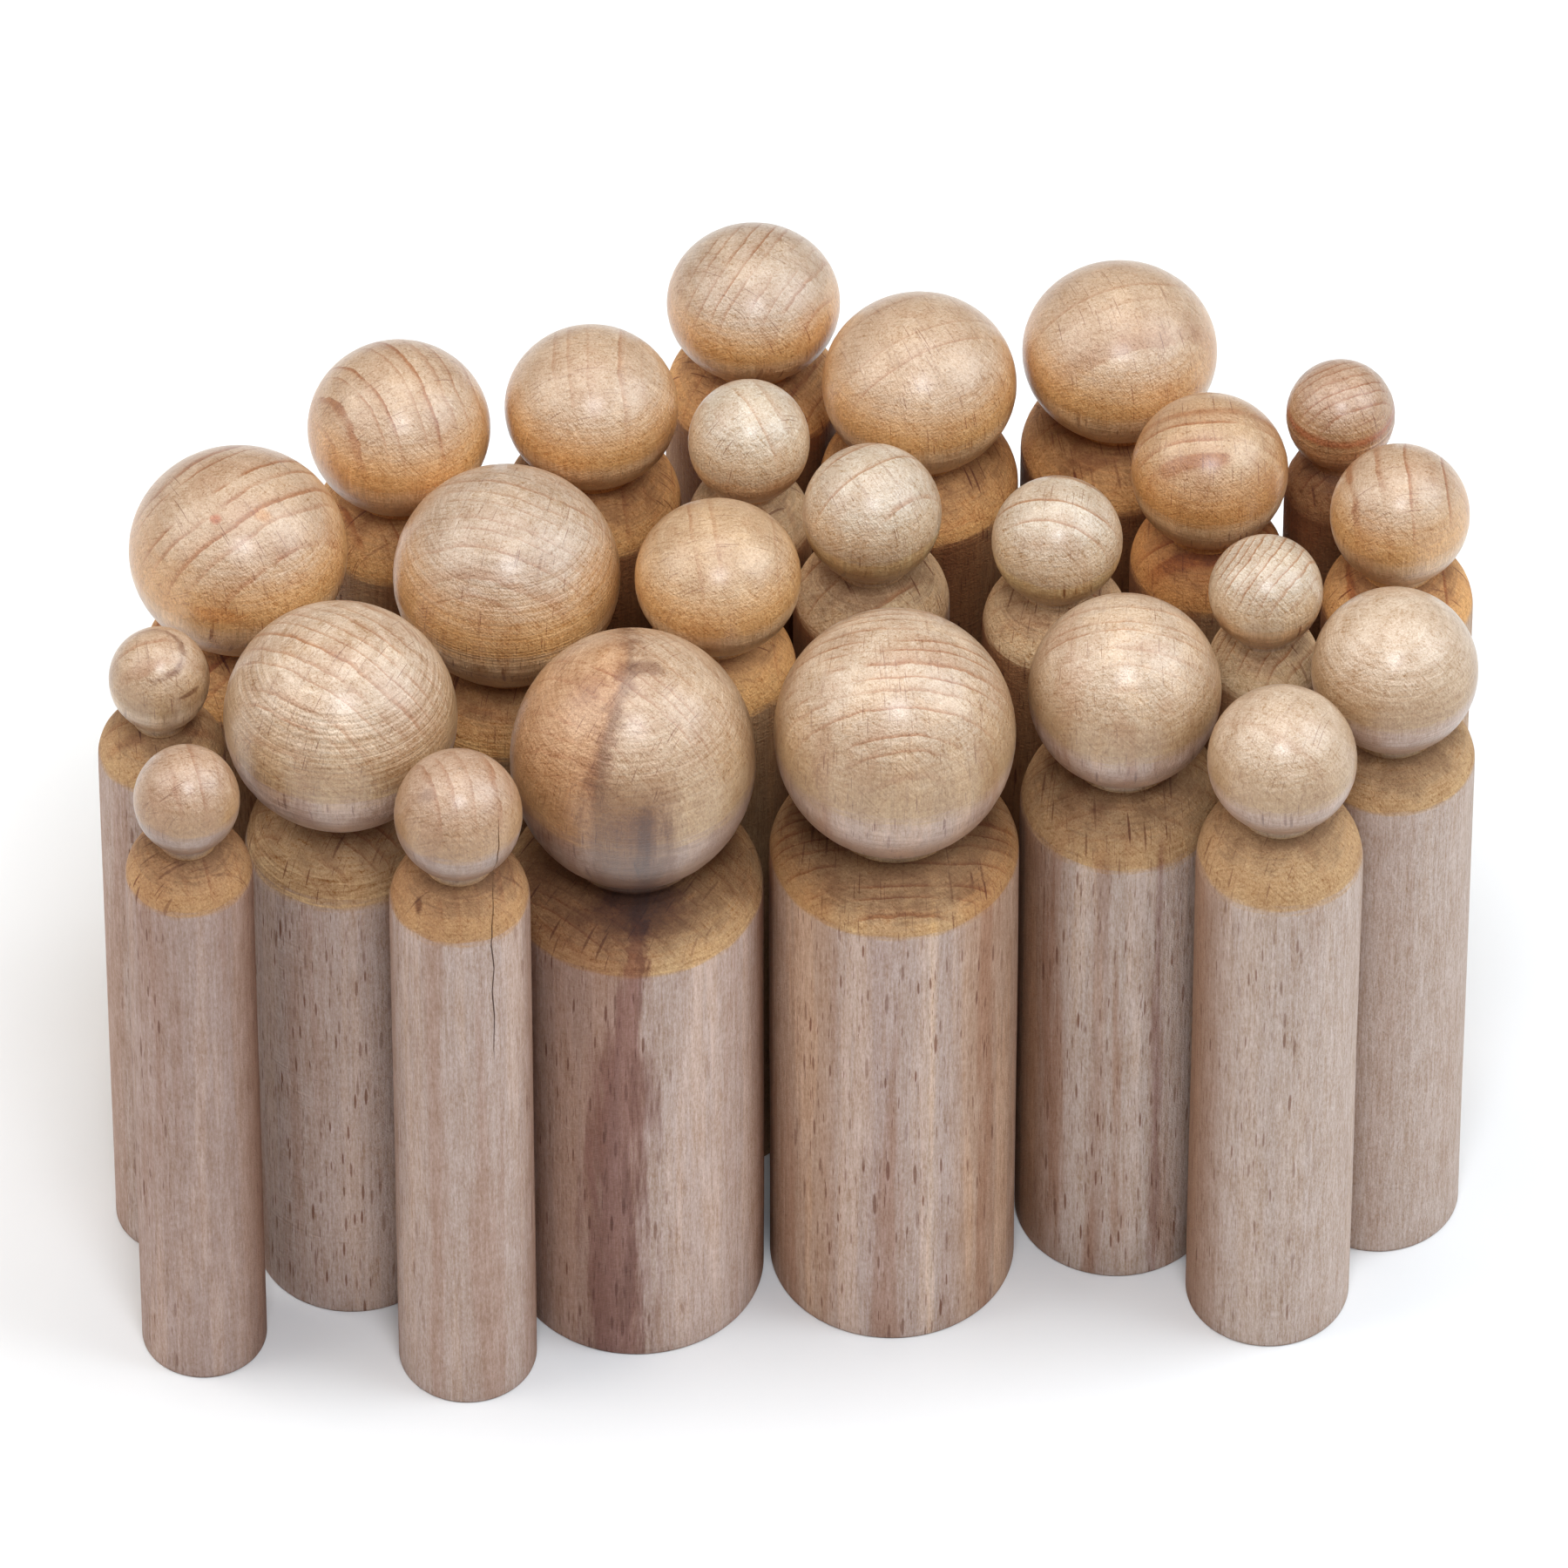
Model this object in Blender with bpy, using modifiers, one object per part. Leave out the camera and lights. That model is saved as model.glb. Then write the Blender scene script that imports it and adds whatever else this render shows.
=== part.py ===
"""A graduated set of 24 turned beech pegs, each a cylinder with a rounded shoulder, a short
neck and a ball head, all in one piece of wood and all standing upright on their flat bases.

Frame: metres, +Z up, origin on the ground below the middle of the group. +X runs to the right
along the group's long side, and the small front row is on the -Y side.
"""

from math import acos, asin, cos, pi, radians, sin, tau
from typing import NamedTuple

import bpy

COLLECTION = "ball_head_peg_set"
MM = 0.001

# What every peg has in common, in millimetres.
NECK_SHARE = 0.55  # neck width as a share of the narrower of head and body
NECK_LENGTH = 1.2  # straight stretch between the shoulder and the ball
BASE_BEVEL = 0.3  # broken edge round the flat base

# How finely the turned outline is divided.
SIDES = 20
HALF_BALL_STEPS = 3  # above the ball's widest ring, and again below it
SHOULDER_STEPS = 3

SHARP_EDGE = radians(35)
BEECH_ROUGHNESS = 0.55


class Peg(NamedTuple):
    """One peg's sizes and the place of its axis on the ground, in millimetres."""

    name: str
    head: float  # width of the ball
    head_height: float  # its height along the axis: hand-turned balls are a little flat or tall
    body: float  # diameter of the cylinder
    length: float  # from the base to the top of the ball
    x: float
    y: float
    shoulder: float = 7.0  # height of the rounded shoulder, from the cylinder to the neck


# Numbered from the widest head to the narrowest.
PEGS = (
    Peg("peg_01", 28.0, 31.5, 29.5, 102, -17.0, -27.0, shoulder=7.0),
    Peg("peg_02", 27.5, 29.5, 28.5, 103, 12.5, -25.0, shoulder=6.0),
    Peg("peg_03", 26.5, 26.0, 22.5, 103, -50.0, -24.0, shoulder=9.0),
    Peg("peg_04", 26.0, 25.0, 23.5, 100, -31.5, 0.0),
    Peg("peg_05", 25.0, 23.0, 22.5, 101, -62.0, 2.0),
    Peg("peg_06", 22.5, 19.5, 23.0, 100, 15.5, 27.5),
    Peg("peg_07", 22.5, 19.5, 22.5, 100, 38.5, 32.5),
    Peg("peg_08", 22.0, 22.5, 23.5, 99, 38.5, -18.0, shoulder=8.5),
    Peg("peg_09", 21.0, 19.5, 20.5, 100, -44.0, 20.5),
    Peg("peg_10", 20.0, 17.0, 20.5, 100, -3.5, 39.0),
    Peg("peg_11", 20.0, 18.0, 20.5, 100, -22.0, 23.0),
    Peg("peg_12", 19.0, 17.0, 18.0, 100, -7.5, -4.0),
    Peg("peg_13", 19.0, 19.0, 19.0, 99, 69.0, -16.5, shoulder=5.5),
    Peg("peg_14", 18.0, 18.0, 18.0, 100, 48.5, 13.0),
    Peg("peg_15", 17.0, 17.0, 19.0, 99, 56.0, -31.0, shoulder=8.5),
    Peg("peg_16", 16.0, 16.5, 17.5, 100, 70.0, 5.5),
    Peg("peg_17", 16.0, 16.0, 18.0, 100, 10.0, 5.5),
    Peg("peg_18", 15.0, 14.5, 17.0, 99, 31.0, 1.5),
    Peg("peg_19", 14.5, 15.5, 16.0, 100, -36.5, -41.0, shoulder=6.5),
    Peg("peg_20", 14.0, 14.5, 14.5, 100, -4.0, 16.0),
    Peg("peg_21", 13.0, 13.0, 13.0, 100, 54.5, -8.0, shoulder=6.0),
    Peg("peg_22", 12.5, 13.0, 12.5, 100, 63.5, 19.5, shoulder=6.0),
    Peg("peg_23", 12.0, 13.0, 14.5, 98, -67.0, -38.0, shoulder=6.0),
    Peg("peg_24", 11.5, 12.5, 14.5, 97, -70.5, -19.0, shoulder=6.0),
)

# Oiled beech, from pale to heartwood, in turn along the set (linear RGB).
BEECH_COLOURS = (
    (0.46, 0.29, 0.18),
    (0.50, 0.33, 0.21),
    (0.48, 0.30, 0.18),
    (0.44, 0.27, 0.16),
)


def clear_scene():
    for obj in list(bpy.data.objects):
        bpy.data.objects.remove(obj, do_unlink=True)


def beech(name, colour):
    material = bpy.data.materials.new(name)
    material.use_nodes = True
    shader = material.node_tree.nodes["Principled BSDF"]
    shader.inputs["Base Color"].default_value = (*colour, 1)
    shader.inputs["Roughness"].default_value = BEECH_ROUGHNESS
    shader.inputs["Metallic"].default_value = 0
    return material


def spread(first, last, steps):
    """Evenly spaced values from first to last, both included."""
    return [first + (last - first) * step / steps for step in range(steps + 1)]


def peg_outline(peg):
    """Points (radius, height) in millimetres, from the top of the ball down to the base."""
    head_radius, body_radius = peg.head / 2, peg.body / 2
    neck_radius = NECK_SHARE * min(head_radius, body_radius)

    ball_half_height = peg.head_height / 2
    ball_centre = peg.length - ball_half_height
    widest, ball_end = pi / 2, pi - asin(neck_radius / head_radius)
    ball = [
        (head_radius * sin(turn), ball_centre + ball_half_height * cos(turn))
        for turn in spread(0, widest, HALF_BALL_STEPS)
        + spread(widest, ball_end, HALF_BALL_STEPS)[1:]
    ]

    neck_foot = ball[-1][1] - NECK_LENGTH
    shoulder_turn = acos(neck_radius / body_radius)
    shoulder_base = neck_foot - peg.shoulder
    dome_height = peg.shoulder / sin(shoulder_turn)
    shoulder = [
        (body_radius * cos(turn), shoulder_base + dome_height * sin(turn))
        for turn in spread(shoulder_turn, 0, SHOULDER_STEPS)
    ]

    base = [(body_radius, BASE_BEVEL), (body_radius - BASE_BEVEL, 0), (0, 0)]
    return ball + shoulder + base


def turned(name, outline, material, collection):
    """A solid of revolution about Z: the outline runs down the outer side at +X."""
    mesh = bpy.data.meshes.new(name)
    points = [(radius * MM, 0, height * MM) for radius, height in outline]
    edges = [(number, number + 1) for number in range(len(points) - 1)]
    mesh.from_pydata(points, edges, [])
    obj = bpy.data.objects.new(name, mesh)
    collection.objects.link(obj)
    screw = obj.modifiers.new("turn", "SCREW")
    screw.axis = "Z"
    screw.angle = tau
    screw.steps = screw.render_steps = SIDES
    screw.use_merge_vertices = True
    screw.merge_threshold = 0.00005

    evaluated = obj.evaluated_get(bpy.context.evaluated_depsgraph_get())
    solid = bpy.data.meshes.new_from_object(evaluated)
    solid.name = name
    solid.shade_smooth()
    solid.set_sharp_from_angle(angle=SHARP_EDGE)
    solid.materials.append(material)
    obj.modifiers.clear()
    obj.data = solid
    bpy.data.meshes.remove(mesh)
    return obj


def middle(pegs):
    """The middle of the group's rectangle on the ground."""
    reach = [max(peg.head, peg.body) / 2 for peg in pegs]
    across = [peg.x + side * r for peg, r in zip(pegs, reach) for side in (-1, 1)]
    along = [peg.y + side * r for peg, r in zip(pegs, reach) for side in (-1, 1)]
    return (min(across) + max(across)) / 2, (min(along) + max(along)) / 2


def main():
    clear_scene()
    collection = bpy.data.collections.new(COLLECTION)
    bpy.context.scene.collection.children.link(collection)
    middle_x, middle_y = middle(PEGS)
    for number, peg in enumerate(PEGS):
        colour = BEECH_COLOURS[number % len(BEECH_COLOURS)]
        material = beech(f"beech_{peg.name}", colour)
        obj = turned(peg.name, peg_outline(peg), material, collection)
        obj.location = ((peg.x - middle_x) * MM, (peg.y - middle_y) * MM, 0)


main()
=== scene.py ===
"""The looks of a set of turned beech pegs: fine turned meshes and a solid beech grain.

Each peg stands on its own CAD body. Its outline is read from the CAD node's rings, then
turned again finely, with small marks of the lathe and the hand. Metres, +Z up.
"""

from math import acos, asin, cos, pi, radians, sin, tau
from typing import NamedTuple

import bpy
import numpy as np
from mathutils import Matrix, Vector


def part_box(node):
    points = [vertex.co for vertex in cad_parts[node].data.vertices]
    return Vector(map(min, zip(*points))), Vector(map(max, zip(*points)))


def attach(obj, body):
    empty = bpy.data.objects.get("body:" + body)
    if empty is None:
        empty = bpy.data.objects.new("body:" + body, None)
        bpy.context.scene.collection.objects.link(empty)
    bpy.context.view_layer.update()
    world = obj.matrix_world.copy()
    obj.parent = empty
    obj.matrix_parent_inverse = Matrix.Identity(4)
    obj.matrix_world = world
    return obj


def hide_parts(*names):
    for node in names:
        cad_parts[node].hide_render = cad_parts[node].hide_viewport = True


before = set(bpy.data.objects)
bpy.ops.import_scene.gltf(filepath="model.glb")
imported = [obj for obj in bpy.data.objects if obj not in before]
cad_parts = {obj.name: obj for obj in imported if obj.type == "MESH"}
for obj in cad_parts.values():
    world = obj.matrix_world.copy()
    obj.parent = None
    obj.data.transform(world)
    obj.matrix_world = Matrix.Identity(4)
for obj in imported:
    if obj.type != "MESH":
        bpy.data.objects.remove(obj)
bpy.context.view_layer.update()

MM = 0.001

# ---------------------------------------------------------------- camera, light and floor

CAMERA_ELEVATION = radians(47.7)
CAMERA_DISTANCE = 2.2
CAMERA_TARGET = Vector((-0.0005, -0.0026, 0.055))
SEEN_WIDTH = 0.18
SENSOR_WIDTH = 36.0
CLIP_END = 20

WORLD_COLOUR = (1.0, 0.99, 0.98, 1)
WORLD_STRENGTH = 0.10
FLOOR_SIZE = 12
FLOOR_COLOUR = (0.84, 0.84, 0.845, 1)
FLOOR_ROUGHNESS = 0.8

# Name, direction from the group, distance, size, watts and colour.
LIGHTS = (
    ("overhead", (0.0, 0.12, 1.0), 1.4, 0.8, 7.6, (1.0, 0.97, 0.93)),
    ("key", (0.04, -0.46, 0.88), 1.4, 0.42, 8.8, (0.89, 0.94, 1.0)),
    ("left", (-0.9, 0.0, 0.90), 1.6, 1.1, 11.8, (1.0, 0.97, 0.92)),
    ("right", (0.9, 0.0, 0.90), 1.6, 1.1, 17.6, (0.87, 0.95, 1.0)),
)


def add_camera():
    data = bpy.data.cameras.new("camera")
    data.sensor_width = SENSOR_WIDTH
    data.lens = SENSOR_WIDTH * CAMERA_DISTANCE / SEEN_WIDTH
    data.clip_end = CLIP_END
    camera = bpy.data.objects.new("camera", data)
    bpy.context.scene.collection.objects.link(camera)
    back = Vector((0, -cos(CAMERA_ELEVATION), sin(CAMERA_ELEVATION)))
    camera.location = CAMERA_TARGET + back * CAMERA_DISTANCE
    camera.rotation_euler = (pi / 2 - CAMERA_ELEVATION, 0, 0)
    bpy.context.scene.camera = camera


def add_area_light(name, direction, distance, size, watts, colour):
    """A square soft light in that direction from the group, facing it."""
    data = bpy.data.lights.new(name, "AREA")
    data.size = size
    data.energy = watts
    data.color = colour
    light = bpy.data.objects.new(name, data)
    bpy.context.scene.collection.objects.link(light)
    towards = Vector(direction).normalized()
    light.location = towards * distance
    light.rotation_euler = towards.to_track_quat("Z", "Y").to_euler()


def add_surroundings():
    world = bpy.data.worlds.new("studio")
    world.use_nodes = True
    background = world.node_tree.nodes["Background"]
    background.inputs["Color"].default_value = WORLD_COLOUR
    background.inputs["Strength"].default_value = WORLD_STRENGTH
    bpy.context.scene.world = world
    bpy.context.scene.view_settings.view_transform = "Standard"

    for light in LIGHTS:
        add_area_light(*light)

    bpy.ops.mesh.primitive_plane_add(size=FLOOR_SIZE)
    floor = bpy.context.object
    floor.name = "floor"
    material = bpy.data.materials.new("floor")
    material.use_nodes = True
    shader = material.node_tree.nodes["Principled BSDF"]
    shader.inputs["Base Color"].default_value = FLOOR_COLOUR
    shader.inputs["Roughness"].default_value = FLOOR_ROUGHNESS
    floor.data.materials.append(material)


# ------------------------------------------------------------------------------ node tools


class Nodes:
    """Short ways to add and link the nodes of one shader tree."""

    def __init__(self, tree):
        self.tree = tree

    def feed(self, socket, value):
        if isinstance(value, bpy.types.NodeSocket):
            self.tree.links.new(value, socket)
        else:
            socket.default_value = value

    def add(self, kind, settings=None, **inputs):
        node = self.tree.nodes.new("ShaderNode" + kind)
        for name, value in (settings or {}).items():
            setattr(node, name, value)
        for name, value in inputs.items():
            self.feed(node.inputs[name.replace("_", " ")], value)
        return node

    def math(self, operation, *values, clamp=False):
        node = self.add("Math", {"operation": operation, "use_clamp": clamp})
        for socket, value in zip(node.inputs, values):
            self.feed(socket, value)
        return node.outputs[0]

    def vector(self, operation, *values):
        node = self.add("VectorMath", {"operation": operation})
        for socket, value in zip(node.inputs, values):
            self.feed(socket, value)
        return node.outputs["Value" if operation in ("LENGTH", "DOT_PRODUCT") else "Vector"]

    def split(self, vector):
        return self.add("SeparateXYZ", Vector=vector).outputs[:3]

    def join(self, x, y, z):
        return self.add("CombineXYZ", X=x, Y=y, Z=z).outputs[0]

    def step(self, value, low, high, to=1.0):
        """Rises smoothly from 0 at low to `to` at high; falls if low is above high."""
        node = self.add("MapRange", {"interpolation_type": "SMOOTHSTEP"}, Value=value)
        self.feed(node.inputs["From Min"], low)
        self.feed(node.inputs["From Max"], high)
        self.feed(node.inputs["To Max"], to)
        return node.outputs[0]

    def mix(self, factor, first, second, blend="MIX"):
        node = self.add("Mix", {"data_type": "RGBA", "blend_type": blend})
        self.feed(node.inputs[0], factor)
        self.feed(node.inputs[6], first)
        self.feed(node.inputs[7], second)
        return node.outputs[2]

    def scaled(self, vector, by):
        node = self.add("VectorMath", {"operation": "SCALE"})
        self.feed(node.inputs[0], vector)
        self.feed(node.inputs["Scale"], by)
        return node.outputs[0]

    def rotated(self, vector, turn):
        node = self.add("VectorRotate", {"rotation_type": "EULER_XYZ"}, Vector=vector)
        self.feed(node.inputs["Rotation"], turn)
        return node.outputs[0]

    def tinted(self, colour, mask, tint):
        """The colour, multiplied by the tint where the mask is 1."""
        return self.mix(1.0, colour, self.mix(mask, (1, 1, 1, 1), tint), "MULTIPLY")

    def noise_1d(self, value):
        settings = {"noise_dimensions": "1D"}
        return self.add("TexNoise", settings, W=value, Scale=1.0, Detail=1.0).outputs[0]

    def noise(self, vector, detail=2.0, roughness=0.5):
        node = self.add("TexNoise", None, Vector=vector, Scale=1.0, Detail=detail)
        self.feed(node.inputs["Roughness"], roughness)
        return node.outputs["Fac"]

    def stretched(self, vector, x, y, z):
        """The coordinate measured in cells of that size, in millimetres."""
        return self.vector("DIVIDE", vector, (x, y, z))

    def plates(self, vector, cell, reach, crowd):
        """A thin rounded plate in each cell that is picked, of that reach in cells. It is 1
        to 0.4 inside a plate, and 0 outside; more cells are picked where crowd is high."""
        scaled = self.stretched(vector, *cell)
        cells = self.add("TexVoronoi", None, Vector=scaled, Scale=1.0)
        chance, size, tone = self.split(cells.outputs["Color"])
        off = self.vector("SUBTRACT", scaled, cells.outputs["Position"])
        off = self.vector("LENGTH", self.vector("DIVIDE", off, reach))
        off = self.math("MULTIPLY", off, self.math("MULTIPLY_ADD", size, 0.9, 1.0))
        inside = self.step(off, 1.1, 0.7)
        picked = self.step(self.math("ADD", chance, crowd), 0.74, 0.85)
        shown = self.math("MULTIPLY", inside, picked)
        return self.math("MULTIPLY", shown, self.math("MULTIPLY_ADD", tone, 0.6, 0.4))


# ------------------------------------------------------------------------------- the beech

LATEWOOD_TINT = (0.66, 0.42, 0.27, 1)
RAY_TINT = (0.40, 0.22, 0.14, 1)
# Painted shade of the ball on its shoulder, darkest near the neck, and painted light at the shoulder's
# rim.
NECK_SHADE_TINT = (0.51, 0.40, 0.29, 1)
RIM_LIGHT_TINT = (1.12, 1.08, 0.96, 1)
# Painted shade for the sides of the bodies that face the middle of the set, in the gaps between the
# pegs.
GAP_SHADE_TINT = (0.58, 0.40, 0.27, 1)
# Painted shade on surfaces that face down.
UNDERSIDE_SHADE_TINT = (0.67, 0.57, 0.50, 1)
PALE_STREAK = (1.22, 1.20, 1.14, 1)
DEEP_STREAK = (0.82, 0.67, 0.57, 1)

# Sizes of the grain in millimetres: two across the peg, then up it. WAVER is how far the
# rings stray.
WAVER_CELL = (14, 14, 50)
WAVER = (2.4, 2.4, 0.0)
BLOTCH_CELL = (3.0, 3.0, 4.5)
PATCH_CELL = (6, 6, 12)
CROWD_CELL = (5, 5, 11)
FIBRE_CELL = (0.38, 0.38, 7)
PORE_CELL = (0.16, 0.16, 0.8)
CLOUD_CELL = (4.5, 4.5, 110)
TURNING_CELL = (4.0, 4.0, 0.42)
SCRATCH_CELL = (0.20, 0.30, 3.6)

# The two directions of the scratches, as turns in radians.
SCRATCH_TURNS = ((0.35, 0.75, 0.2), (-0.55, -0.85, 0.9))

# Rays, as a cell along the ring, out from the pith and up the tree, and a reach in cells.
BROAD_RAYS = {"cell": (0.85, 6.0, 5.2), "reach": (0.21, 0.45, 0.40)}
SLIM_RAYS = {"cell": (0.44, 4.5, 2.9), "reach": (0.14, 0.46, 0.43)}

GLOSS_IOR = 1.5
GLOSS_LEVEL = 0.6
COAT = 0.85
COAT_ROUGHNESS = 0.30
BUMP_STRENGTH = 0.6
BUMP_DEPTH = 0.0002


def beech_group():
    """Solid beech, in millimetres: rings about a pith beside the peg, rays running out from
    it, long fibres up the peg, and a warmer tone where the grain is cut across."""
    group = bpy.data.node_groups.new("solid_beech", "ShaderNodeTree")
    face = group.interface
    for name, kind in (
        ("Pith", "Vector"),
        ("Offset", "Vector"),
        ("Ring Width", "Float"),
        ("Ring Strength", "Float"),
        ("Fleck Strength", "Float"),
        ("Streak Strength", "Float"),
        ("Lathe Strength", "Float"),
        ("Neck Height", "Float"),
        ("To Middle", "Vector"),
        ("Across", "Color"),
        ("Deep", "Color"),
        ("Along", "Color"),
        ("Under", "Color"),
        ("Outer", "Color"),
    ):
        face.new_socket(name, in_out="INPUT", socket_type="NodeSocket" + kind)
    face.new_socket("Color", in_out="OUTPUT", socket_type="NodeSocketColor")
    for name in ("Roughness", "Coat", "Height"):
        face.new_socket(name, in_out="OUTPUT", socket_type="NodeSocketFloat")

    n = Nodes(group)
    given = group.nodes.new("NodeGroupInput").outputs
    result = group.nodes.new("NodeGroupOutput")
    place = n.add("TexCoord")
    point = n.scaled(place.outputs["Object"], 1 / MM)
    seeded = n.vector("ADD", point, given["Offset"])

    # The tree's own cylinder coordinates.
    waver = n.add("TexNoise", None, Vector=n.stretched(seeded, *WAVER_CELL), Scale=1.0, Detail=1.0)
    waver = n.vector("SUBTRACT", waver.outputs["Color"], (0.5, 0.5, 0.5))
    waver = n.vector("MULTIPLY", waver, WAVER)
    from_pith = n.vector("SUBTRACT", n.vector("ADD", point, waver), given["Pith"])
    x, y, z = n.split(from_pith)
    distance = n.vector("LENGTH", n.join(x, y, 0.0))
    around = n.math("ARCTAN2", y, x)
    along_ring = n.math("MULTIPLY", around, n.vector("LENGTH", given["Pith"]))

    # Growth rings: a thin darker line closes each year, stronger in some years than others.
    blotch = n.noise(n.stretched(seeded, *BLOTCH_CELL), detail=3, roughness=0.65)
    years = n.math("DIVIDE", n.math("MULTIPLY_ADD", blotch, 0.8, distance), given["Ring Width"])
    uneven = n.noise_1d(n.math("MULTIPLY", distance, 0.21))
    years = n.math("MULTIPLY_ADD", uneven, 1.6, years)
    part = n.math("FRACT", years)
    line = n.math("MULTIPLY_ADD", n.step(part, 0.70, 0.93), 0.7, n.math("MULTIPLY", part, 0.4))
    line = n.math("MULTIPLY", line, n.step(part, 1.0, 0.95))
    year = n.add("TexWhiteNoise", {"noise_dimensions": "1D"}, W=n.math("FLOOR", years))
    strong = n.math("MULTIPLY_ADD", year.outputs["Value"], 0.6, 0.5)
    patch = n.step(n.noise(n.stretched(seeded, *PATCH_CELL), detail=2), 0.28, 0.55)
    line = n.math("MULTIPLY", n.math("MULTIPLY", line, strong), patch)
    line = n.math("MULTIPLY", line, given["Ring Strength"], clamp=True)

    # Rays: thin along the ring, tall up the tree, long out from the pith. Cut across, they are
    # fine lines square to the rings; on the front and back of a body they are dashes.
    ray_place = n.vector("ADD", n.join(along_ring, distance, z), given["Offset"])
    crowd = n.noise(n.stretched(seeded, *CROWD_CELL), detail=1)
    broad = n.plates(ray_place, crowd=crowd, **BROAD_RAYS)
    slim = n.plates(ray_place, crowd=crowd, **SLIM_RAYS)
    # Faces that run along the rays show them broad and faint.
    sideways = n.vector("NORMALIZE", n.join(n.math("MULTIPLY", y, -1.0), x, 0.0))
    flat_on = n.math("ABSOLUTE", n.vector("DOT_PRODUCT", place.outputs["Normal"], sideways))
    edge_on = n.math("SUBTRACT", 1.0, n.step(flat_on, 0.55, 0.90, 0.88))

    # Fibres, pores and broad bands of tone, all drawn out up the peg.
    fibre = n.noise(n.stretched(seeded, *FIBRE_CELL), detail=3, roughness=0.6)
    pore = n.noise(n.stretched(seeded, *PORE_CELL), detail=1)
    cloud = n.noise(n.stretched(seeded, *CLOUD_CELL), detail=4, roughness=0.62)

    # Long grain is pinkish or amber, and cut grain is honey. Where the cut grain faces down, low on the
    # ball and on the shoulder, it takes the deeper tone: painted shade and warm bounced light.
    upward = n.split(place.outputs["Normal"])[2]
    point_x, point_y, point_z = n.split(point)
    off_axis = n.vector("LENGTH", n.join(point_x, point_y, 0.0))
    neck = given["Neck Height"]
    below_neck = n.step(point_z, n.math("ADD", neck, 0.4), neck)
    lathe_z = n.math("MULTIPLY", n.math("MULTIPLY", off_axis, below_neck), -0.6)
    lathe_z = n.math("ADD", point_z, lathe_z)
    turning = n.stretched(n.join(point_x, point_y, lathe_z), *TURNING_CELL)
    turning = n.noise(turning, detail=3, roughness=0.6)
    ragged = n.math("MULTIPLY_ADD", n.math("SUBTRACT", turning, 0.5), 0.34, upward)
    # Where the grain faces down, the Deep tone is painted in as shade and warm bounced light.
    paler = n.math("MULTIPLY", n.step(ragged, 0.10, 0.78), n.math("MULTIPLY_ADD", below_neck, -0.8, 1.0))
    honey = n.mix(paler, given["Deep"], given["Across"])
    patched = n.math("MULTIPLY_ADD", n.math("SUBTRACT", turning, 0.5), 0.5, ragged)
    patched = n.math("MULTIPLY_ADD", n.math("SUBTRACT", blotch, 0.5), 0.9, patched)
    # The shoulder is painted with shade under the ball near the neck and brighter light out at the rim.
    shoulder_shade = n.mix(n.step(patched, 0.40, 1.0), RIM_LIGHT_TINT, NECK_SHADE_TINT)
    honey = n.mix(1.0, honey, n.mix(below_neck, (1, 1, 1, 1), shoulder_shade), "MULTIPLY")
    cut_low = n.math("MULTIPLY_ADD", below_neck, 0.17, -0.12)
    cut = n.step(ragged, cut_low, n.math("ADD", cut_low, 0.19))
    on_ball = n.math("MULTIPLY", cut, n.math("SUBTRACT", 1.0, below_neck))
    inward = n.vector("DOT_PRODUCT", point, given["To Middle"])
    # The given direction points to the middle of the set. Long grain facing it is amber and darkened:
    # painted shade of the gaps between the pegs.
    long_grain = n.mix(n.step(inward, 0.0, -9.0), given["Along"], given["Outer"])
    long_grain = n.mix(below_neck, given["Under"], long_grain)
    # Painted shade on long grain that faces down.
    long_grain = n.tinted(long_grain, n.step(ragged, -0.05, -0.45), UNDERSIDE_SHADE_TINT)
    colour = n.mix(cut, long_grain, honey)
    # Painted shade in the gaps: the long grain that faces the middle of the set is darkened.
    gap_shade = n.math("MULTIPLY", n.step(inward, -1.0, 7.0), n.math("MULTIPLY_ADD", cut, -0.85, 1.0))
    gap_shade = n.math("MULTIPLY", gap_shade, below_neck)
    colour = n.tinted(colour, gap_shade, GAP_SHADE_TINT)
    streaks = n.math("MULTIPLY", given["Streak Strength"], n.math("MULTIPLY_ADD", cut, -0.5, 1.0))
    pale = n.math("MULTIPLY", n.step(cloud, 0.51, 0.62), streaks)
    deep = n.math("MULTIPLY", n.step(cloud, 0.49, 0.37), streaks)
    colour = n.tinted(colour, pale, PALE_STREAK)
    colour = n.tinted(colour, deep, DEEP_STREAK)
    line = n.math("MULTIPLY", line, n.step(ragged, 0.05, 0.80))
    colour = n.tinted(colour, line, LATEWOOD_TINT)
    broad = n.math("MULTIPLY", broad, n.math("MULTIPLY_ADD", on_ball, -0.70, 1.0))
    ray = n.math("MAXIMUM", broad, n.math("MULTIPLY", slim, 0.85))
    ray = n.math("MULTIPLY", n.math("MULTIPLY", ray, edge_on), given["Fleck Strength"], clamp=True)
    colour = n.tinted(colour, ray, RAY_TINT)

    # Sanding and handling leave crossed scratches, and the lathe leaves faint rings.
    first, second = (
        n.noise(n.stretched(n.rotated(seeded, turn), *SCRATCH_CELL), detail=2)
        for turn in SCRATCH_TURNS
    )
    lathe = n.noise_1d(n.math("MULTIPLY", lathe_z, 2.4))

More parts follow.
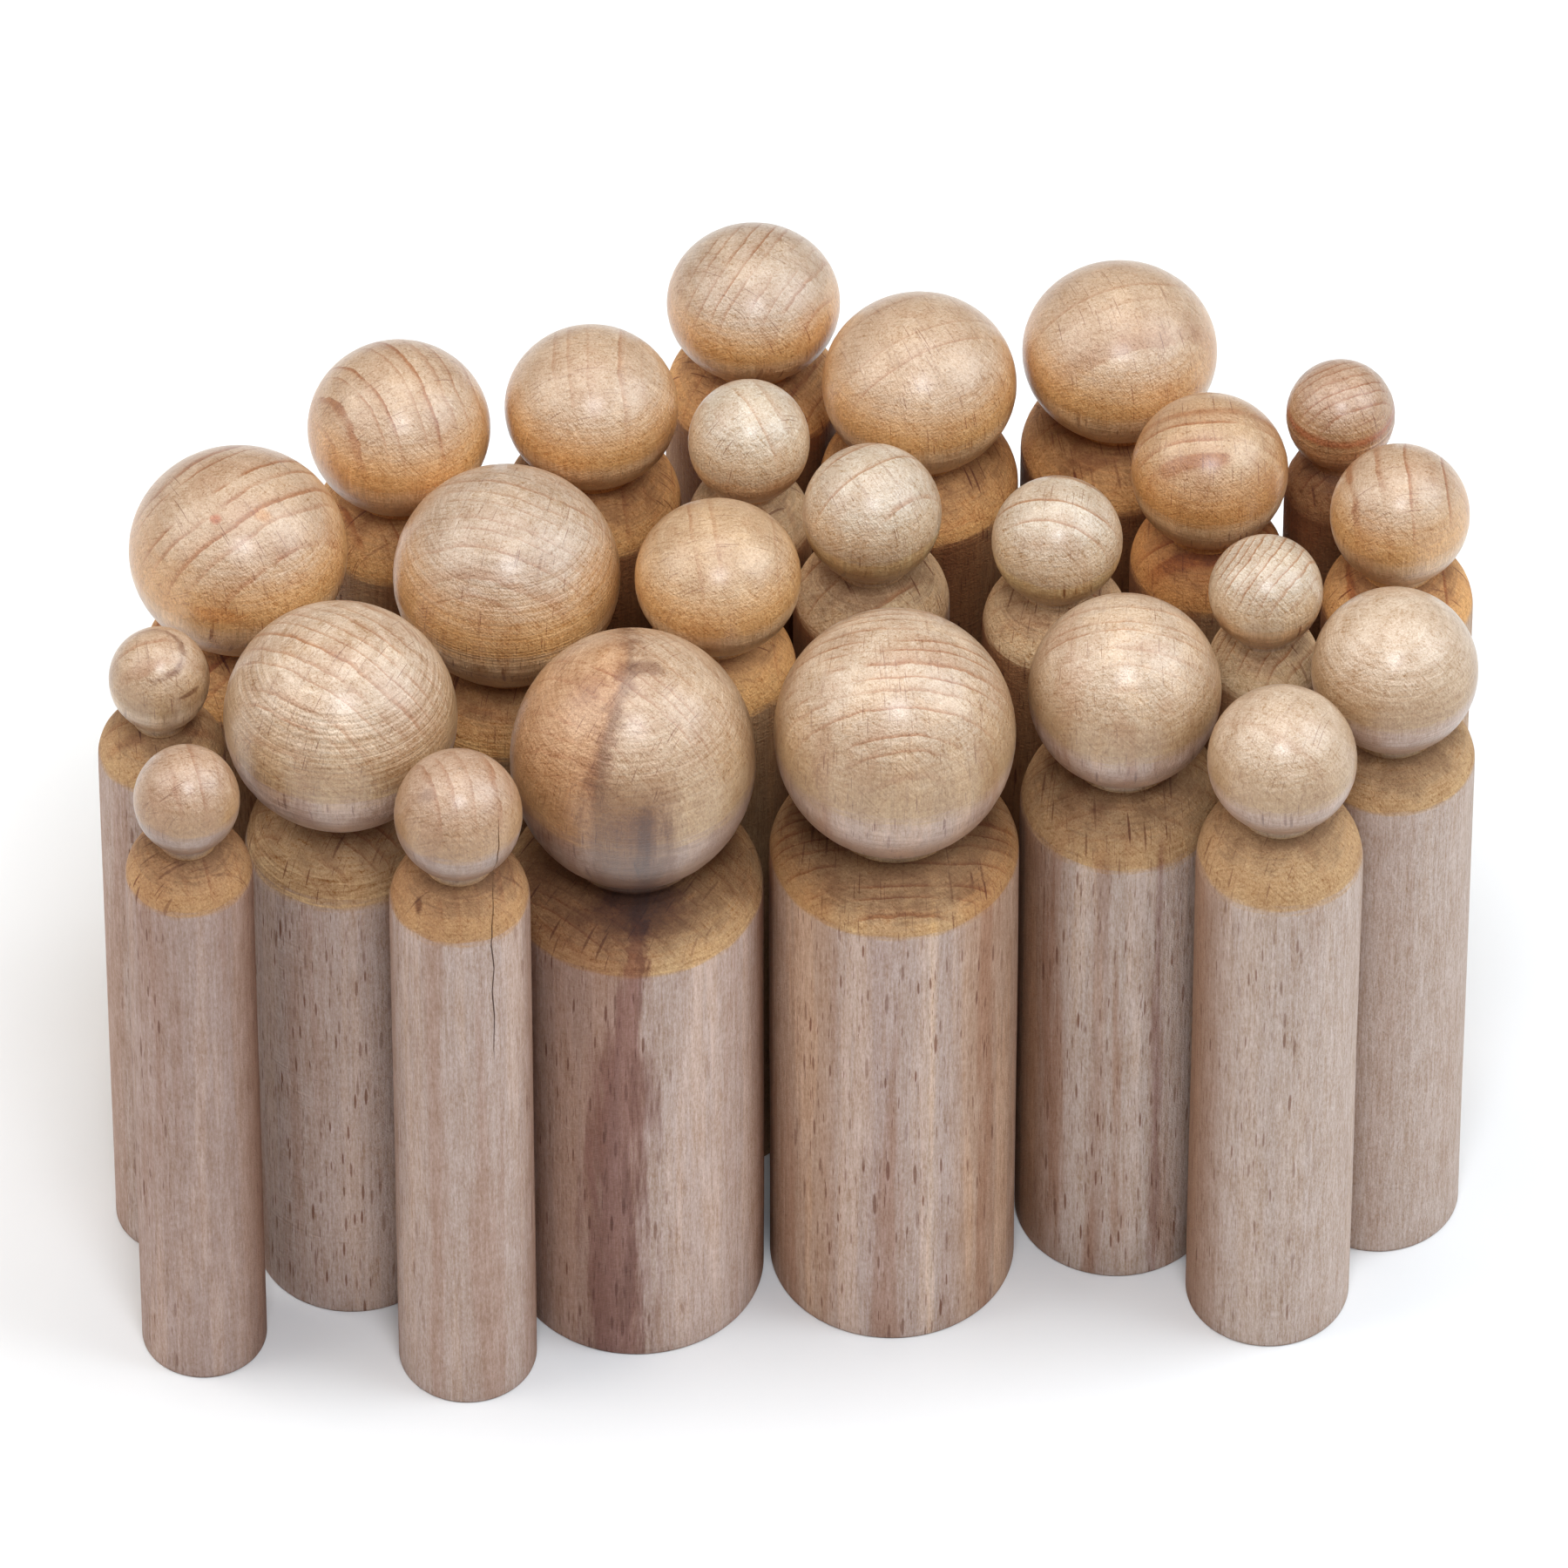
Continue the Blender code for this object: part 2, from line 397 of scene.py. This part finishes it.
    scratch = n.math("MULTIPLY_ADD", cut, 0.75, 0.25)
    strands = n.math("MULTIPLY_ADD", cut, -0.50, 0.95)
    bright = n.math("MULTIPLY_ADD", n.math("SUBTRACT", fibre, 0.5), strands, 1.02)
    turned = n.math("MAXIMUM", cut, n.math("SUBTRACT", 1.0, below_neck))
    turned = n.math("MULTIPLY_ADD", turned, 0.90, 0.15)
    turned = n.math("MULTIPLY_ADD", n.math("MULTIPLY", cut, below_neck), 0.8, turned)
    turned = n.math("MULTIPLY", turned, given["Lathe Strength"])
    bright = n.math("MULTIPLY_ADD", n.math("SUBTRACT", turning, 0.5), turned, bright)
    for grain, amount in ((pore, 0.85), (blotch, 0.50)):
        bright = n.math("MULTIPLY_ADD", n.math("SUBTRACT", grain, 0.5), amount, bright)
    hairs = n.math("ADD", n.step(first, 0.43, 0.33), n.step(second, 0.43, 0.33))
    glints = n.math("ADD", n.step(first, 0.58, 0.68), n.step(second, 0.58, 0.68))
    hairs = n.math("SUBTRACT", n.math("MULTIPLY", glints, 0.7), hairs)
    bright = n.math("MULTIPLY_ADD", n.math("MULTIPLY", hairs, 0.24), scratch, bright)
    # Whatever is darker is also redder.
    warm = n.math("MULTIPLY_ADD", bright, 0.70, 0.30)
    cold = n.math("MULTIPLY_ADD", bright, 1.35, -0.35)
    colour = n.vector("MULTIPLY", colour, n.join(warm, bright, cold))

    height = n.math("MULTIPLY", fibre, 0.8)
    for grain, amount in ((pore, 0.6), (first, 0.8), (second, 0.8)):
        height = n.math("MULTIPLY_ADD", grain, amount, height)
    height = n.math("MULTIPLY_ADD", lathe, given["Lathe Strength"], height)
    # Hands polish the balls, and leave the shoulders and bodies matt.
    rough = n.math("MULTIPLY_ADD", pore, 0.16, 0.32)
    rough = n.math("MULTIPLY_ADD", first, 0.14, rough)
    rough = n.math("MULTIPLY_ADD", below_neck, 0.30, rough)
    coat = n.math("MULTIPLY_ADD", below_neck, -COAT, COAT)
    made = {"Color": colour, "Roughness": rough, "Coat": coat, "Height": height}
    for name, value in made.items():
        n.feed(result.inputs[name], value)
    return group


# Tones of beech (linear RGB): grain that is cut across, and the deeper tones that paint shade and warm
# bounced light low on the ball and on the shoulder.
HONEY = (0.51, 0.35, 0.23)
GOLD = (0.51, 0.33, 0.19)
BISCUIT = (0.48, 0.35, 0.25)
BLUSH = (0.55, 0.40, 0.28)
CREAM = (0.56, 0.45, 0.34)
RUSSET = (0.46, 0.30, 0.20)
COPPER = (0.62, 0.33, 0.125)
OLIVE = (0.43, 0.26, 0.13)
BUTTER = (0.60, 0.42, 0.26)
CHESTNUT = (0.40, 0.22, 0.10)
EMBER = (0.53, 0.25, 0.08)

# Long grain, and the underside of the ball.
AMBER = (0.42, 0.235, 0.11)
ROSE = (0.50, 0.34, 0.235)
PINK = (0.48, 0.345, 0.285)
PALE_PINK = (0.505, 0.38, 0.315)
DUSKY_PINK = (0.41, 0.28, 0.23)
PALE_AMBER = (0.70, 0.44, 0.23)
STRAW = (0.70, 0.48, 0.23)
ROSE_BROWN = (0.47, 0.31, 0.23)
DUSK = (0.36, 0.23, 0.17)


class Wood(NamedTuple):
    """One peg's piece of beech: how its grain runs, how strong its marks are, its tones."""

    pith: float  # direction of the tree's middle seen from the peg, in degrees from +X
    away: float  # how far off it is, in millimetres
    across: tuple  # the ball's cut grain
    ring_width: float = 1.9
    rings: float = 0.7
    flecks: float = 1.0
    streaks: float = 0.6
    lathe: float = 0.45
    # deep: cut grain painted deeper low on the ball and on the shoulder, as painted shade and warm
    # bounced light.
    deep: tuple = COPPER  # cut grain low on the ball and on the shoulder
    # along: the long grain; the amber default, on sides facing the middle of the set, is darker and
    # warmer as painted shade of the gaps.
    along: tuple = AMBER  # the body's long grain
    under: tuple = PALE_AMBER  # the underside of the ball

    @property
    def outer(self):
        """The long grain of the side that faces away from the other pegs."""
        return ROSE if self.along == AMBER else self.along


WOODS = {
    "peg_01": Wood(50, 60, ring_width=1.7, flecks=0.9, lathe=0.8,
                   across=HONEY, deep=OLIVE, along=PINK, under=DUSK),
    "peg_02": Wood(92, 50, ring_width=1.7, rings=1.1, streaks=0.9,
                   across=BLUSH, deep=OLIVE, along=PINK, under=ROSE_BROWN),
    "peg_03": Wood(55, 45, rings=1.0, lathe=1.2,
                   across=BLUSH, deep=OLIVE, along=PINK, under=ROSE_BROWN),
    "peg_04": Wood(75, 50, lathe=0.9, across=BISCUIT),
    "peg_05": Wood(126, 40, ring_width=2.6, rings=1.1, across=HONEY),
    "peg_06": Wood(115, 60, ring_width=5.0, rings=0.6, across=HONEY),
    "peg_07": Wood(110, 70, ring_width=4.0, rings=0.5, across=HONEY),
    "peg_08": Wood(90, 80, ring_width=2.2, streaks=1.0,
                   across=BLUSH, deep=OLIVE, along=PALE_PINK, under=ROSE_BROWN),
    "peg_09": Wood(210, 40, ring_width=2.2, rings=1.1, across=HONEY),
    "peg_10": Wood(151, 45, ring_width=1.8, rings=1.0, across=BISCUIT),
    "peg_11": Wood(2, 60, ring_width=3.0, rings=0.6, across=HONEY),
    "peg_12": Wood(5, 70, ring_width=5.0, rings=0.5, across=GOLD),
    "peg_13": Wood(-60, 20, rings=0.15, flecks=0.1, streaks=0.2, lathe=0.8,
                   across=BLUSH, deep=OLIVE, along=PALE_PINK, under=ROSE_BROWN),
    "peg_14": Wood(90, 60, ring_width=4.5, rings=1.2, across=GOLD, deep=EMBER),
    "peg_15": Wood(60, 70, ring_width=3.0, rings=0.3, flecks=0.8, streaks=0.3,
                   across=BLUSH, deep=OLIVE, along=PALE_PINK, under=ROSE_BROWN),
    "peg_16": Wood(2, 40, ring_width=3.6, rings=1.3, across=HONEY),
    "peg_17": Wood(125, 35, ring_width=4.0, rings=1.0, across=CREAM, deep=BUTTER, under=STRAW),
    "peg_18": Wood(80, 60, ring_width=4.0, rings=1.1, across=CREAM, deep=BUTTER, under=STRAW),
    "peg_19": Wood(200, 30, ring_width=2.6, flecks=0.6,
                   across=RUSSET, deep=CHESTNUT, along=PINK, under=DUSK),
    "peg_20": Wood(30, 50, ring_width=3.0, rings=0.6, across=CREAM, deep=BUTTER),
    "peg_21": Wood(150, 20, ring_width=1.1, rings=1.4, across=CREAM, deep=BUTTER),
    "peg_22": Wood(120, 15, ring_width=1.3, rings=1.1, across=RUSSET, deep=CHESTNUT),
    "peg_23": Wood(15, 35, ring_width=1.8,
                   across=RUSSET, deep=CHESTNUT, along=DUSKY_PINK, under=DUSK),
    "peg_24": Wood(100, 30, ring_width=3.0, across=HONEY, deep=OLIVE, along=PINK, under=BUTTER),
}

MARK_TONES = {
    "brown": (0.40, 0.25, 0.16, 1),
    "grey": (0.47, 0.31, 0.16, 1),
    "purple": (0.55, 0.37, 0.345, 1),
    "shade": (0.70, 0.56, 0.48, 1),
    "bounce_amber": (0.98, 0.80, 0.58, 1),
    "orange": (1.0, 0.78, 0.58, 1),
    "red": (0.85, 0.50, 0.40, 1),
    "pale": (1.12, 1.12, 1.12, 1),
    "cream": (1.24, 1.26, 1.20, 1),
    "lilac": (0.95, 0.92, 0.94, 1),
    "crack_shade": (0.10, 0.08, 0.07, 1),
}


class Painter:
    """Paints one peg's own marks over its beech. Positions are in millimetres from the centre
    of its base, with Y towards the back."""

    def __init__(self, nodes, colour, ball_centre):
        self.n = nodes
        self.colour = colour
        self.ball_centre = ball_centre
        place = nodes.add("TexCoord").outputs["Object"]
        self.point = nodes.scaled(place, 1 / MM)
        streaked = nodes.noise(nodes.stretched(self.point, 2.2, 2.2, 1.1), detail=3, roughness=0.65)
        self.patchy = nodes.math("SUBTRACT", streaked, 0.5)
        drawn_out = nodes.noise(nodes.stretched(self.point, 1.3, 1.3, 16), detail=3, roughness=0.65)
        self.drawn = nodes.math("SUBTRACT", drawn_out, 0.5)
        self.x, self.y, self.z = nodes.split(self.point)

    def tint(self, mask, tone):
        self.colour = self.n.tinted(self.colour, mask, MARK_TONES[tone])

    def band(self, value, centre, half_width, soft, amount=1.0, wander=2.0, upright=False):
        """1 where value is within half_width of centre, with a soft edge that is ragged
        along the grain if upright, and round the peg if not."""
        off = self.n.math("ABSOLUTE", self.n.math("SUBTRACT", value, centre))
        off = self.n.math("MULTIPLY_ADD", self.drawn if upright else self.patchy, wander, off)
        return self.n.step(off, half_width + soft, half_width - soft, amount)

    def spot(self, centre, radii, amount=1.0):
        """A soft blot at that place, measured from the centre of the ball."""
        middle = Vector(centre) + Vector((0, 0, self.ball_centre))
        off = self.n.vector("DIVIDE", self.n.vector("SUBTRACT", self.point, middle), radii)
        off = self.n.math("MULTIPLY_ADD", self.patchy, 0.8, self.n.vector("LENGTH", off))
        return self.n.step(off, 1.2, 0.5, amount)

    def both(self, *masks):
        result = masks[0]
        for mask in masks[1:]:
            result = self.n.math("MULTIPLY", result, mask)
        return result

    def curve(self, value, *stops):
        """A smooth curve through (value, result) stops, each within 100 of zero."""
        node = self.n.add("FloatCurve")
        line = node.mapping.curves[0]
        for at, result in stops:
            line.points.new(at / 200 + 0.5, result / 200 + 0.5)
        # Only the stops stay, without the points that every new curve has at its ends.
        line.points.remove(line.points[-1])
        line.points.remove(line.points[0])
        node.mapping.update()
        self.n.feed(node.inputs["Value"], self.n.math("MULTIPLY_ADD", value, 1 / 200, 0.5))
        return self.n.math("MULTIPLY_ADD", node.outputs[0], 200, -100)


def mark_peg_01(paint):
    """A dark streak of heartwood from the crown, down the front and through the body."""
    n, x, y, z = paint.n, paint.x, paint.y, paint.z
    over = n.math("SUBTRACT", z, paint.ball_centre)
    crown = n.step(over, 4.0, 9.5)
    across_crown = paint.curve(y, (-14, -4.2), (-10, -3.6), (-5, -1.6), (0, -0.3), (6, -0.6))
    left = n.step(n.math("SUBTRACT", x, across_crown), 0.3, -0.8)
    paint.tint(paint.both(left, n.step(over, -4, 1), n.step(y, 8, 2), 0.75), "orange")
    paint.tint(paint.both(paint.band(x, across_crown, 0.8, 1.0, 0.65, 5.5), crown), "brown")
    paint.tint(paint.both(paint.band(x, across_crown, 2.0, 1.6, 0.30, 5.5), crown), "shade")
    paint.tint(paint.spot((-5.2, -2.5, 14.0), (2.2, 2.6, 3), 0.6), "shade")
    paint.tint(paint.spot((1.6, -0.5, 15.4), (2.4, 1.3, 2), 0.7), "brown")
    low = paint.both(n.step(over, 10.5, 5.0), n.step(over, -14, -10), n.step(y, 0, -4))
    paint.tint(paint.both(paint.band(x, -0.6, 4.6, 1.8, 0.9, 7, upright=True), low), "grey")
    low_middle = paint.both(paint.band(x, 1.4, 0.9, 1.0, 0.7, 5, upright=True), low)
    paint.tint(paint.both(low_middle, n.step(over, 8, 3)), "brown")
    paint.tint(paint.spot((0.6, -13.5, 2.5), (4.6, 5, 2.6), 0.6), "shade")
    body = paint.both(n.step(over, -13, -16), n.step(y, 2, -4))
    down = paint.curve(z, (0, -2.0), (30, -2.2), (50, -1.2), (60, -0.6), (72, 0.9))
    half = paint.curve(z, (0, 4.0), (30, 4.2), (50, 3.6), (60, 2.3), (72, 1.1))
    off = n.math("DIVIDE", n.math("SUBTRACT", x, down), half)
    paint.tint(paint.both(n.step(n.math("SUBTRACT", x, down), 1.0, -2.5, 0.9), body), "shade")
    paint.tint(paint.both(paint.band(off, 0.0, 0.8, 0.4, 0.95, 2.0, upright=True), body), "purple")
    paint.tint(paint.both(paint.band(off, 0.45, 0.15, 0.3, 0.5, 2.6, upright=True), body), "brown")
    paint.tint(paint.spot((0.9, -8.5, -15.5), (6.5, 5.5, 3.5), 0.9), "brown")
    paint.tint(paint.spot((0.6, -7.2, -15.0), (4.2, 3.6, 3.0), 0.65), "brown")
    paint.tint(paint.both(n.step(n.math("SUBTRACT", x, down), 4.5, 7.5), body), "pale")


def mark_peg_02(paint):
    """A cream streak up the body, and painted warm light, bounced from the neighbours, towards its
    sides.
    """
    n, x, y = paint.n, paint.x, paint.y
    body = n.step(paint.z, paint.ball_centre - 14, paint.ball_centre - 17)
    body = paint.both(body, n.step(y, 3, -1))
    paint.tint(paint.both(paint.band(x, 4.3, 0.30, 0.35, 0.9, 1.2, upright=True), body), "cream")
    paint.tint(paint.both(paint.band(x, -1.5, 1.6, 1.2, 0.6, 3.0, upright=True), body), "lilac")
    # Painted warm light bounced from the neighbouring pegs, on both sides of the body.
    paint.tint(paint.both(n.step(x, -5.0, -8.5, 0.7), body), "bounce_amber")
    paint.tint(paint.both(n.step(x, 6.0, 9.0, 0.7), body), "bounce_amber")


def mark_peg_05(paint):
    """Small reddish spots on the ball."""
    paint.tint(paint.spot((-2.3, -4.9, 10.5), (0.8, 0.7, 0.7)), "red")
    paint.tint(paint.spot((3.0, -4.3, 10.6), (1.3, 0.8, 1.0), 0.8), "orange")
    paint.tint(paint.spot((-2.0, -11.0, 2.0), (3.5, 4, 1.2), 0.6), "orange")


def mark_peg_08(paint):
    """Dark and pale bands up the body."""
    body = paint.n.step(paint.z, paint.ball_centre - 13, paint.ball_centre - 17)
    paint.tint(paint.both(paint.band(paint.x, -2.5, 0.9, 0.8, 0.7, 2.4, upright=True), body), "shade")
    paint.tint(paint.both(paint.band(paint.x, 4.2, 0.3, 0.5, 0.8, 2.6, upright=True), body), "purple")
    paint.tint(paint.both(paint.band(paint.x, 1.4, 0.9, 0.6, 0.9, 2.4, upright=True), body), "pale")


def mark_peg_19(paint):
    """The check, which the turned mesh opens, painted dark inside as painted shade, and a knot's edge.
    """
    crack = paint.n.add("Attribute", {"attribute_name": "check"}).outputs["Fac"]
    # The inside of the check is painted near black: painted shade in the crack.
    paint.tint(crack, "crack_shade")
    paint.tint(paint.spot((-4.5, -4.8, -9.6), (0.5, 1, 1.6), 0.9), "brown")
    paint.tint(paint.spot((-3.0, -2.5, 5.8), (1.6, 1.0, 1.0), 0.6), "brown")


def mark_peg_22(paint):
    """Dark bands round the ball under its facet."""
    over = paint.n.math("SUBTRACT", paint.z, paint.ball_centre)
    paint.tint(paint.band(over, 1.2, 0.5, 0.4, 0.9, 1.2), "red")
    paint.tint(paint.n.step(over, 0.9, -0.5, 0.8), "shade")


def mark_peg_24(paint):
    """The brown edge of a pale cap."""
    middle = Vector((-0.5, -1.1, 5.4 + paint.ball_centre))
    off = paint.n.vector("LENGTH", paint.n.vector("SUBTRACT", paint.point, middle))
    rim = paint.both(paint.band(off, 3.3, 0.3, 0.4, 0.8, 2.0), paint.n.step(paint.x, -2.5, 1.0))
    paint.tint(rim, "brown")
    paint.tint(paint.spot((3.6, -4.0, 2.0), (1.8, 1.6, 0.35), 0.8), "brown")


MARKS = {
    "peg_01": mark_peg_01,
    "peg_02": mark_peg_02,
    "peg_05": mark_peg_05,
    "peg_08": mark_peg_08,
    "peg_19": mark_peg_19,
    "peg_22": mark_peg_22,
    "peg_24": mark_peg_24,
}

# How far apart the pegs are cut from the grain, so that no two are alike.
GRAIN_STEP = Vector((37.0, -23.0, 211.0))


def peg_material(name, number, outline, group):
    """The peg's beech, with the colours of its own marks painted over it."""
    material = bpy.data.materials.new("beech_" + name)
    material.use_nodes = True
    n = Nodes(material.node_tree)
    shader = material.node_tree.nodes["Principled BSDF"]
    beech = n.add("Group", {"node_tree": group})
    wood = WOODS[name]
    pith = radians(wood.pith)
    settings = {
        "Pith": (wood.away * cos(pith), wood.away * sin(pith), 0),
        "Offset": GRAIN_STEP * number,
        "Ring Width": wood.ring_width,
        "Ring Strength": wood.rings,
        "Fleck Strength": wood.flecks,
        "Streak Strength": wood.streaks,
        "Lathe Strength": wood.lathe,
        "Neck Height": outline.neck_foot / MM,
        "To Middle": -outline.centre.normalized(),
        "Across": (*wood.across, 1),
        "Deep": (*wood.deep, 1),
        "Along": (*wood.along, 1),
        "Under": (*wood.under, 1),
        "Outer": (*wood.outer, 1),
    }
    for socket, value in settings.items():
        beech.inputs[socket].default_value = value
    colour = beech.outputs["Color"]
    if name in MARKS:
        paint = Painter(n, colour, outline.ball_centre / MM)
        MARKS[name](paint)
        colour = paint.colour
    n.feed(shader.inputs["Base Color"], colour)
    n.feed(shader.inputs["Roughness"], beech.outputs["Roughness"])
    bump = n.add("Bump", None, Strength=BUMP_STRENGTH, Distance=BUMP_DEPTH)
    n.feed(bump.inputs["Height"], beech.outputs["Height"])
    n.feed(shader.inputs["Normal"], bump.outputs[0])
    shader.inputs["IOR"].default_value = GLOSS_IOR
    shader.inputs["Specular IOR Level"].default_value = GLOSS_LEVEL
    n.feed(shader.inputs["Coat Weight"], beech.outputs["Coat"])
    shader.inputs["Coat Roughness"].default_value = COAT_ROUGHNESS
    return material


# ------------------------------------------------------------------------- the turned shapes

COLUMNS = 128
BALL_ROWS = 56
SHOULDER_ROWS = 12
BODY_ROWS = 40
NECK_ROWS = 3
EDGE_ROWS = 3

# The rings of a CAD peg, counted from the top of its ball.
EQUATOR, BALL_FOOT, NECK_FOOT, SHOULDER_BASE, BODY_FOOT = 3, 6, 7, 10, 11


class Outline(NamedTuple):
    """A peg's outline in metres: heights from the base, and radii."""

    centre: Vector
    top: float
    ball_centre: float
    ball_radius: float
    neck_top: float
    neck_foot: float
    neck_radius: float
    shoulder_base: float
    body_radius: float
    edge: float


def read_outline(node):
    low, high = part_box(node)
    centre = Vector(((low.x + high.x) / 2, (low.y + high.y) / 2, low.z))
    rings = {}
    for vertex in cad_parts[node].data.vertices:
        away = (vertex.co - centre).to_2d().length
        height = round(vertex.co.z - low.z, 5)
        rings[height] = max(away, rings.get(height, 0))
    rings = sorted(rings.items(), reverse=True)
    return Outline(
        centre=centre,
        top=rings[0][0],
        ball_centre=rings[EQUATOR][0],
        ball_radius=rings[EQUATOR][1],
        neck_top=rings[BALL_FOOT][0],
        neck_foot=rings[NECK_FOOT][0],
        neck_radius=rings[NECK_FOOT][1],
        shoulder_base=rings[SHOULDER_BASE][0],
        body_radius=rings[SHOULDER_BASE][1],
        edge=rings[BODY_FOOT][0],
    )


# The caps of these balls are turned a little flatter, out to that share of the radius.
FLAT_CAPS = {"peg_14": 0.82, "peg_22": 0.84, "peg_21": 0.86}
FLAT_CAP_DEPTH = 0.035
TOOL_MARKS = {"peg_01": 0.00003, "peg_03": 0.00004, "peg_04": 0.00004, "peg_22": 0.00005}
FAINT_TOOL_MARK = 0.00001
BALL_RIPPLE = 2.4
SHOULDER_RIPPLE = 2.1
NECK_INSET = 0.0001
SHARP_ANGLE = radians(40)

# Out of round: how many lobes there are round the peg, and how deep as a share of its radius.
LOBES = ((2, 0.0030), (3, 0.0022), (5, 0.0010))
WAIST_DEPTH = 0.0035


def fine_profile(outline, node):
    """(radius, height) from the top of the ball to the edge of the base, poles left out."""
    o = outline
    half_height = o.top - o.ball_centre
    ball_end = pi - asin(o.neck_radius / o.ball_radius)
    mark = TOOL_MARKS.get(node, FAINT_TOOL_MARK)
    rows = []
    for step in range(1, BALL_ROWS + 1):
        turn = ball_end * step / BALL_ROWS
        radius, height = o.ball_radius * sin(turn), half_height * cos(turn)
        cap = FLAT_CAPS.get(node, 0)
        if turn < asin(cap):
            share = radius / (o.ball_radius * cap)
            height *= 1 - FLAT_CAP_DEPTH * (1 - share**2)
        ripple = mark * (1 + sin(step * BALL_RIPPLE)) * sin(turn)
        rows.append((radius - ripple, o.ball_centre + height))
    for step in range(1, NECK_ROWS):
        height = o.neck_top + (o.neck_foot - o.neck_top) * step / NECK_ROWS
        rows.append((o.neck_radius - NECK_INSET, height))
    first_turn = acos(o.neck_radius / o.body_radius)
    dome_height = (o.neck_foot - o.shoulder_base) / sin(first_turn)
    for step in range(SHOULDER_ROWS + 1):
        turn = first_turn * (1 - step / SHOULDER_ROWS)
        ripple = mark * (1 + sin(step * SHOULDER_RIPPLE))
        radius = o.body_radius * cos(turn) - ripple
        rows.append((radius, o.shoulder_base + dome_height * sin(turn)))
    for step in range(1, BODY_ROWS + 1):
        height = o.shoulder_base + (o.edge - o.shoulder_base) * step / BODY_ROWS
        rows.append((o.body_radius, height))
    for step in range(1, EDGE_ROWS + 1):
        turn = pi / 2 * step / EDGE_ROWS
        rows.append((o.body_radius - o.edge * (1 - cos(turn)), o.edge * (1 - sin(turn))))
    return np.array(rows)


def hand_wobble(profile, angles, number):
    """How far each point lies inside the true turned shape, as a share of its radius."""
    rng = np.random.default_rng(number)
    height = profile[:, 1:] / profile[0, 1]
    dip = np.zeros((len(profile), len(angles)))
    for lobes, depth in LOBES:
        phase, climb = rng.uniform(0, tau), rng.uniform(3, 9)
        dip += depth * (1 + np.sin(lobes * angles + climb * height + phase)) / 2
    dip += WAIST_DEPTH * (1 + np.sin(rng.uniform(9, 14) * height + rng.uniform(0, tau))) / 2
    return dip


# The drying check: the column of the mesh that opens, and its sizes in metres.
CHECKED_PEG = "peg_19"
CHECK_COLUMN = 108
CHECK_DEPTH = 0.0005
CHECK_HALF_WIDTH = 0.00009
CHECK_SIDEWAYS = 0.0038
CHECK_LEAN = 0.0009
CHECK_BELOW_TOP = 0.0035
CHECK_DOWN_BODY = 0.020


def check_bend(profile, angles, outline):
    """The columns' angles, bent to follow the check, and how open it is at each row."""
    radius, height = profile[:, 0], profile[:, 1]
    wiggle = 0.00010 * np.sin(height * 700) + 0.00004 * np.sin(height * 2300 + 1)
    rise = np.clip((height - outline.neck_foot) / 0.010, 0, 1)
    across = CHECK_SIDEWAYS + CHECK_LEAN * rise + wiggle
    there = -np.arccos(np.clip(across / radius, 0, 0.96))
    here = angles[CHECK_COLUMN] - tau
    apart = (angles - here + pi) % tau - pi
    reach = np.cos(np.clip(apart, -pi / 2, pi / 2)) ** 2
    bent = angles + (there - here)[:, None] * reach
    for column, side in ((CHECK_COLUMN - 1, -1), (CHECK_COLUMN + 1, 1)):
        bent[:, column] = there + tau + side * CHECK_HALF_WIDTH / radius
    on_ball = np.clip((outline.top - CHECK_BELOW_TOP - height) / 0.003, 0, 1)
    on_body = np.clip((height - outline.shoulder_base + CHECK_DOWN_BODY) / 0.008, 0, 1)
    return bent, on_ball * on_body * (radius > across)


def turned_mesh(name, outline, node, number):
    """Quads round the axis, closed by a fan at the top and another under the base."""
    profile = fine_profile(outline, node)
    rows = len(profile)
    angles = np.arange(COLUMNS) * tau / COLUMNS
    radius = profile[:, :1] * (1 - hand_wobble(profile, angles, number))
    turns = np.broadcast_to(angles, radius.shape)
    check = np.zeros(radius.shape)
    if node == CHECKED_PEG:
        turns, opening = check_bend(profile, angles, outline)
        check[:, CHECK_COLUMN] = opening
        radius[:, CHECK_COLUMN] -= CHECK_DEPTH * opening
    height = np.broadcast_to(profile[:, 1:], radius.shape)
    points = np.stack((radius * np.cos(turns), radius * np.sin(turns), height), axis=-1)
    points = np.concatenate((points.reshape(-1, 3), [(0, 0, profile[0, 1]), (0, 0, 0)]))
    first = np.arange(rows - 1)[:, None] * COLUMNS + np.arange(COLUMNS)
    second = np.arange(rows - 1)[:, None] * COLUMNS + (np.arange(COLUMNS) + 1) % COLUMNS
    quads = np.stack((first, first + COLUMNS, second + COLUMNS, second), axis=-1)
    faces = quads.reshape(-1, 4).tolist()
    last = (rows - 1) * COLUMNS
    for column in range(COLUMNS):
        after = (column + 1) % COLUMNS
        faces.append((rows * COLUMNS, column, after))
        faces.append((rows * COLUMNS + 1, last + after, last + column))
    mesh = bpy.data.meshes.new(name)
    mesh.from_pydata(points.tolist(), [], faces)
    if node == CHECKED_PEG:
        attribute = mesh.attributes.new("check", "FLOAT", "POINT")
        attribute.data.foreach_set("value", np.append(check.reshape(-1), (0, 0)))
    mesh.shade_smooth()
    mesh.set_sharp_from_angle(angle=SHARP_ANGLE)
    return mesh


def add_peg(number, node, group):
    outline = read_outline(node)
    mesh = turned_mesh("turned_" + node, outline, node, number)
    mesh.materials.append(peg_material(node, number, outline, group))
    peg = bpy.data.objects.new("turned_" + node, mesh)
    bpy.context.scene.collection.objects.link(peg)
    peg.location = outline.centre
    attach(peg, node)
    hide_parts(node)


add_camera()
add_surroundings()
solid_beech = beech_group()
for number, node in enumerate(sorted(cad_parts), start=1):
    add_peg(number, node, solid_beech)
